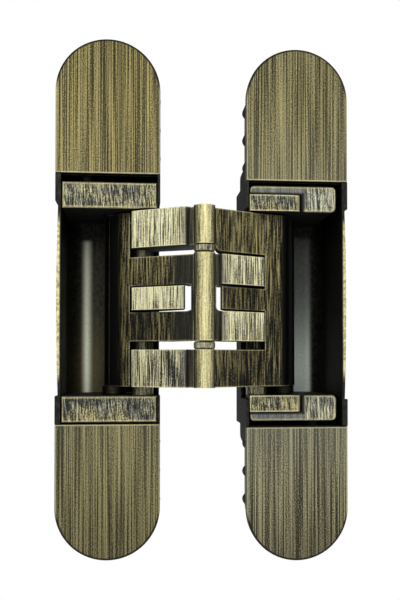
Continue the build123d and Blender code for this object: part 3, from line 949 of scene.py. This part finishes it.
@dataclass
class Leaf:
    """One leaf: its housing, covers and carriages."""

    side: Side
    front: float
    middle_x: float
    # Width of the painted highlight on a block's rounded end, in millimetres.
    end_highlight: float = 1.9

    def _stripes(self) -> tuple[Stripe, ...]:
        """Painted highlight stripes on this leaf's pocket floor."""
        if self.side is Side.DOOR:
            sheen = Stripe(
                colour=linear(236, 248, 234),
                middle=self.middle_x + 6.5,
                half=2.9,
                soft=0.9,
                top=20.8,
                strength=0.62,
                top_share=0.1,
            )
            return (sheen,)
        glow = Stripe(
            colour=linear(196, 184, 122),
            middle=self.middle_x - 6.4,
            half=5.6,
            soft=4.6,
            top=17.0,
            strength=0.2,
            top_share=0.1,
        )
        core = Stripe(
            colour=linear(252, 255, 228),
            middle=self.middle_x - 7.2,
            half=1.25,
            soft=1.25,
            top=19.0,
            strength=1.0,
            top_share=0.55,
        )
        return (glow, core)

    def _cover(self, end: str) -> CoverFinish:
        """Finish of the cover at one end, set out from its box."""
        node = f"{self.side.value}_{end}_cover"
        patch = Patch.of(node)
        radius = (patch.high_x - patch.low_x) / 2
        upward = 1.0 if end == UPPER else -1.0
        inner, tip = (patch.low_z, patch.high_z) if end == UPPER else (patch.high_z, patch.low_z)
        return CoverFinish(
            name=f"{node}_brass",
            look=COVER_LOOKS[self.side][end],
            middle_x=self.middle_x,
            centre_z=tip - upward * radius,
            inner_z=inner,
            radius=radius,
            upward=upward,
        )

    def dress(self) -> None:
        """Dresses the leaf's nodes."""
        name = self.side.value
        housing = HousingFinish(f"{name}_housing_black", self.front, self.middle_x, self._stripes())
        dress(f"{name}_housing", housing.make())
        blocks = {f"{name}_{end}_pivot_block" for end in ENDS} & set(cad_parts)
        patches = {block: Patch.of(block) for block in sorted(blocks)}
        carriage = CarriageFinish(
            f"{name}_carriage_brass", CARRIAGE_PLATING[self.side], tuple(patches.values())
        )
        carriage_metal = carriage.make()
        for end in ENDS:
            dress(f"{name}_{end}_cover", self._cover(end).make())
            dress(f"{name}_{end}_carriage", carriage_metal)
        for block, patch in patches.items():
            highlight_from = patch.high_x - self.end_highlight
            dress(block, CarriageFinish(f"{block}_brass", DARK_PLATING, highlight_from=highlight_from).make())


@dataclass
class ArmPair:
    """The two interleaved arms, with the pins, washers and bushes they turn on."""

    middle_x: float
    pin: bpy.types.Material
    washer: bpy.types.Material
    bush: bpy.types.Material
    outer_bareness: float = 0.15
    inner_bareness: float = 0.9

    def dress(self) -> None:
        """Dresses the arms and everything they turn on."""
        outer = ArmFinish("outer_arm_brass", -1.0, self.middle_x, self.outer_bareness)
        dress("outer_arm", outer.make())
        inner = ArmFinish("inner_arm_brass", 1.0, self.middle_x, self.inner_bareness)
        dress("inner_arm", inner.make())
        dress("centre_pin", self.pin)
        for end in ENDS:
            dress(f"{end}_centre_washer", self.washer)
        for side in Side:
            dress(f"{side.value}_pivot_pin", self.pin)
            dress(f"{side.value}_slider_pin", self.pin)
            for end in ENDS:
                dress(f"{side.value}_{end}_pivot_washer", self.washer)
                dress(f"{side.value}_{end}_slider_bush", self.bush)


@dataclass
class Adjusters:
    """The height screw and the clamp screws."""

    screw: bpy.types.Material

    def dress(self) -> None:
        """Dresses the screws."""
        for node in ("frame_height_screw", "door_upper_clamp_screw", "door_lower_clamp_screw"):
            dress(node, self.screw)


@dataclass(frozen=True)
class Lamp:
    """A square soft lamp: its name, place in metres and power in watts."""

    name: str
    place: tuple[float, float, float]
    power: float


@dataclass
class Studio:
    """White studio: world, floor, soft lamps and the camera at the photograph's angle."""

    front: float
    lowest: float
    lens: float = 53.7
    shift: tuple[float, float] = (-0.0485, 0.0722)
    camera_at: tuple[float, float, float] = (8.46, -241.55, -16.24)
    pitch: float = 1.01
    yaw: float = 5.72
    floor_drop: float = 50.0
    floor_size: float = 6.0
    paper: float = 0.85
    ambient: float = 0.35
    front_level: float = 0.22
    behind: Span = (0.85, 0.98)
    white_span: Span = (0.05, 0.11)
    white_least: float = 0.6
    lamp_size: float = 0.60
    lamps: tuple[Lamp, ...] = (
        Lamp("key", (-0.05, -0.80, 0.40), 2.8),
        Lamp("left", (-0.85, -0.42, 0.45), 2.0),
        Lamp("right", (0.95, -0.42, 0.30), 1.55),
    )
    target: Vector = field(default_factory=lambda: Vector((0.0257, 0.0, 0.0)))

    def build(self) -> None:
        """Builds the whole studio."""
        self._world()
        self._floor()
        for lamp in self.lamps:
            self._lamp(lamp)
        self._camera()
        view = bpy.context.scene.view_settings
        view.view_transform = "Standard"

    def _world(self) -> None:
        """Surroundings: white to the camera, soft as light, dim in mirrors except straight behind."""
        world = bpy.data.worlds.new("studio")
        bpy.context.scene.world = world
        world.use_nodes = True
        tree = NodeTree(world.node_tree)
        path = tree.node("ShaderNodeLightPath")
        camera = tree.value(path.outputs["Is Camera Ray"])
        glossy = tree.value(path.outputs["Is Glossy Ray"])
        clear = tree.value(path.outputs["Is Transmission Ray"])
        seen = (glossy + clear).clamped()
        aim = tree.node("ShaderNodeTexCoord").outputs["Generated"]
        parts = tree.node("ShaderNodeSeparateXYZ", None, {0: aim})
        behind = tree.value(parts.outputs["Y"]).rising(*self.behind)
        level = behind * (1 - self.front_level) + self.front_level
        strength = camera + (1 - camera) * (seen * level + (1 - seen) * self.ambient)
        sky = tree.node(
            "ShaderNodeBackground", None, {"Color": (1.0, 1.0, 1.0), "Strength": strength}
        )
        tree.node("ShaderNodeOutputWorld", None, {"Surface": sky.outputs[0]})

    def _floor(self) -> None:
        """Pale floor below the hinge, which keeps its shadow."""
        half = self.floor_size / 2
        level = self.lowest - self.floor_drop * MM
        corners = [(-half, -half, level), (half, -half, level), (half, half, level), (-half, half, level)]
        mesh = bpy.data.meshes.new("floor")
        mesh.from_pydata(corners, [], [(0, 1, 2, 3)])
        floor = bpy.data.objects.new("floor", mesh)
        bpy.context.scene.collection.objects.link(floor)
        mesh.materials.append(self._floor_white())
        floor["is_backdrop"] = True

    def _floor_white(self) -> bpy.types.Material:
        """Paper that camera, mirror and clear rays see as white, least below the hinge."""
        material = bpy.data.materials.new("floor_white")
        material.use_nodes = True
        tree = NodeTree(material.node_tree)
        paper = tree.node("ShaderNodeBsdfDiffuse", None, {"Color": (self.paper, self.paper, self.paper)})
        glow = tree.node("ShaderNodeEmission", None, {"Color": (1.0, 1.0, 1.0), "Strength": 1.0})
        path = tree.node("ShaderNodeLightPath")
        seen = tree.value(path.outputs["Is Camera Ray"]) + tree.value(path.outputs["Is Glossy Ray"])
        seen = (seen + tree.value(path.outputs["Is Transmission Ray"])).clamped()
        away = tree.node(
            "ShaderNodeVectorMath",
            {"operation": "LENGTH"},
            {0: tree.node("ShaderNodeTexCoord").outputs["Object"]},
        )
        far = tree.value(away.outputs["Value"]).rising(*self.white_span)
        share = seen * (far * (1 - self.white_least) + self.white_least)
        both = tree.node(
            "ShaderNodeMixShader", None, {0: share, 1: paper.outputs[0], 2: glow.outputs[0]}
        )
        tree.node("ShaderNodeOutputMaterial", None, {"Surface": both.outputs[0]})
        return material

    def _lamp(self, lamp: Lamp) -> None:
        """Hangs a lamp and aims it at the hinge."""
        light = bpy.data.lights.new(lamp.name, "AREA")
        light.size = self.lamp_size
        light.energy = lamp.power
        holder = bpy.data.objects.new(lamp.name, light)
        holder.location = lamp.place
        holder.rotation_euler = (self.target - Vector(lamp.place)).to_track_quat("-Z", "Y").to_euler()
        bpy.context.scene.collection.objects.link(holder)

    def _camera(self) -> None:
        """Camera at the photograph's angle."""
        data = bpy.data.cameras.new("camera")
        data.lens = self.lens
        data.shift_x, data.shift_y = self.shift
        camera = bpy.data.objects.new("camera", data)
        across, depth, height = self.camera_at
        camera.location = (across * MM, self.front + depth * MM, height * MM)
        camera.rotation_euler = (math.radians(90 + self.pitch), 0.0, -math.radians(self.yaw))
        bpy.context.scene.collection.objects.link(camera)
        bpy.context.scene.camera = camera


def middle_of(node: str) -> float:
    """Middle of a CAD node across, in millimetres."""
    low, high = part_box(node)
    return (low.x + high.x) / 2 / MM


def main() -> None:
    """Dresses the hinge and builds the studio."""
    logging.basicConfig(level=logging.INFO, format="%(name)s %(message)s")
    cover_low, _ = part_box("frame_upper_cover")
    pins = PlainMetalFinish("pin_steel", linear(44, 43, 38), linear(96, 93, 82), roughness=0.35)
    washers = PlainMetalFinish(
        "washer_brass", linear(52, 51, 44), linear(214, 208, 172), roughness=0.4, grooves=(2.4, 2.4, 0.3)
    )
    bushes = PlainMetalFinish("bush_bronze", linear(34, 32, 26), linear(84, 78, 58), roughness=0.45)
    screws = PlainMetalFinish("screw_black", linear(18, 18, 17), linear(40, 40, 38), roughness=0.45)
    for side in Side:
        Leaf(side, cover_low.y / MM, middle_of(f"{side.value}_upper_cover")).dress()
    ArmPair(middle_of("centre_pin"), pins.make(), washers.make(), bushes.make()).dress()
    Adjusters(screws.make()).dress()
    Studio(front=cover_low.y, lowest=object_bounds()[0][2]).build()


if __name__ == "__main__":
    main()
